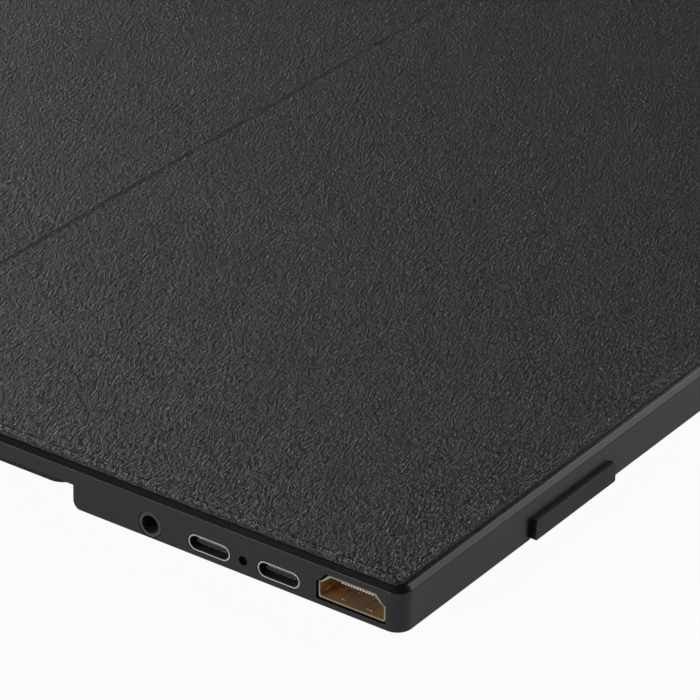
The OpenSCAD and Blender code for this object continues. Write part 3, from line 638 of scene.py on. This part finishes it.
PANEL_RADIUS = 4.0
PANEL_ROUND = 0.35
PANEL_BACK_GAP = 0.02  # between the leather's inner side and the housing
PANEL_ROWS = (0.65, 0.9, 1.05, 1.18, 1.32, 1.45, 1.55, BORDER, 1.75, 1.87, 2.0, 2.15, 2.35, 2.8, 3.5, 5.0)


def make_back_panel(leather):
    """The panel's leather, face down, with the same border line as the flap."""
    low, high = (PANEL_LOW.x, PANEL_LOW.y), (PANEL_HIGH.x, PANEL_HIGH.y - PANEL_OVERLAP)
    profile = [(inset, PANEL_LOW.z + rise) for inset, rise in edge_round(PANEL_ROUND)]
    profile += [(inset, PANEL_LOW.z - border_relief(inset)) for inset in PANEL_ROWS]
    rim = [(inset, inset, z, max(0.0, PANEL_RADIUS - inset)) for inset, z in profile]
    panel = plate("back_panel_skin", low, high, rim, PANEL_HIGH.z - PANEL_BACK_GAP, [leather])
    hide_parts("back_panel_leather")
    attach(panel, "monitor")


# Stage and light


FLOOR_HALF, FLOOR_GAP = 8.0, 0.0002  # metres
FLOOR_SEEN, FLOOR_IN_GLOSS = 0.95, 0.32  # how white the floor looks to the camera and in reflections
WORLD_LEVEL = 0.03

# Soft boxes: name, direction from the part, distance and sides in metres, watts. "grain" rakes the leather from
# behind, "side" and "sockets" light the port side, and "key" is what the chin's sloping rim reflects.
LAMPS = (
    ("key", (0.72, -0.52, 0.46), 1.5, (0.8, 0.6), 2.4),
    ("grain", (0.42, 0.78, 0.26), 3.0, (0.5, 0.5), 24),
    ("near", (0.76, -0.30, 0.58), 0.9, (0.2, 0.2), 2.2),
    ("side", (-0.76, 0.62, 0.20), 1.2, (0.3, 0.3), 5),
    ("sockets", (-0.90, 0.22, 0.34), 1.2, (0.15, 0.15), 3),
)


def make_floor():
    """A pale floor that looks white to the camera and keeps the object's shadow."""
    shader = Shader("pale floor", (0.86, 0.86, 0.86), 0.6, specular=0.3)
    fine = shader.noise(0.02, detail=2.0)
    shader.colours(fine, (0.85, 0.85, 0.85), (0.87, 0.87, 0.87))
    glow = shader.add("ShaderNodeEmission")
    mix = shader.add("ShaderNodeMixShader")
    path = shader.add("ShaderNodeLightPath")
    seen = shader.math("MAXIMUM", path.outputs["Is Camera Ray"], path.outputs["Is Transmission Ray"])
    share = shader.total((seen, FLOOR_SEEN), (path.outputs["Is Glossy Ray"], FLOOR_IN_GLOSS))
    shader.link(share, mix.inputs["Fac"])
    shader.link(shader.surface.outputs[0], mix.inputs[1])
    shader.link(glow.outputs[0], mix.inputs[2])
    shader.link(mix.outputs[0], shader.tree.nodes["Material Output"].inputs["Surface"])
    mesh = bpy.data.meshes.new("floor")
    half, z = FLOOR_HALF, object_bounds()[0][2] - FLOOR_GAP
    mesh.from_pydata([(-half, -half, z), (half, -half, z), (half, half, z), (-half, half, z)], [], [(0, 1, 2, 3)])
    mesh.materials.append(shader.material)
    floor = bpy.data.objects.new("floor", mesh)
    bpy.context.collection.objects.link(floor)


def make_world():
    """White to the camera, and a faint even light on the object."""
    world = bpy.data.worlds.new("studio")
    bpy.context.scene.world = world
    world.use_nodes = True
    tree = world.node_tree
    tree.nodes.clear()
    out = tree.nodes.new("ShaderNodeOutputWorld")
    mix = tree.nodes.new("ShaderNodeMixShader")
    path = tree.nodes.new("ShaderNodeLightPath")
    soft = tree.nodes.new("ShaderNodeBackground")
    soft.inputs["Color"].default_value = (1, 1, 1, 1)
    soft.inputs["Strength"].default_value = WORLD_LEVEL
    white = tree.nodes.new("ShaderNodeBackground")
    white.inputs["Color"].default_value = (1, 1, 1, 1)
    tree.links.new(path.outputs["Is Camera Ray"], mix.inputs["Fac"])
    tree.links.new(soft.outputs[0], mix.inputs[1])
    tree.links.new(white.outputs[0], mix.inputs[2])
    tree.links.new(mix.outputs[0], out.inputs["Surface"])


def add_lamp(name, direction, distance, size, power):
    """A soft box that faces the part's middle."""
    data = bpy.data.lights.new(name, "AREA")
    data.shape = "RECTANGLE"
    data.size, data.size_y = size
    data.energy = power
    lamp = bpy.data.objects.new(name, data)
    way = Vector(direction).normalized()
    lamp.location = way * distance
    lamp.rotation_euler = (-way).to_track_quat("-Z", "Y").to_euler()
    bpy.context.collection.objects.link(lamp)


make_camera()
library = make_materials()
dress_nodes(library)
dress_rims(library)
make_flap([library["leather"], library["pressed"]], library["lining"])
make_spine(library["leather"])
make_back_panel(library["leather"])
make_floor()
make_world()
for lamp in LAMPS:
    add_lamp(*lamp)
bpy.context.scene.view_settings.view_transform = "Standard"
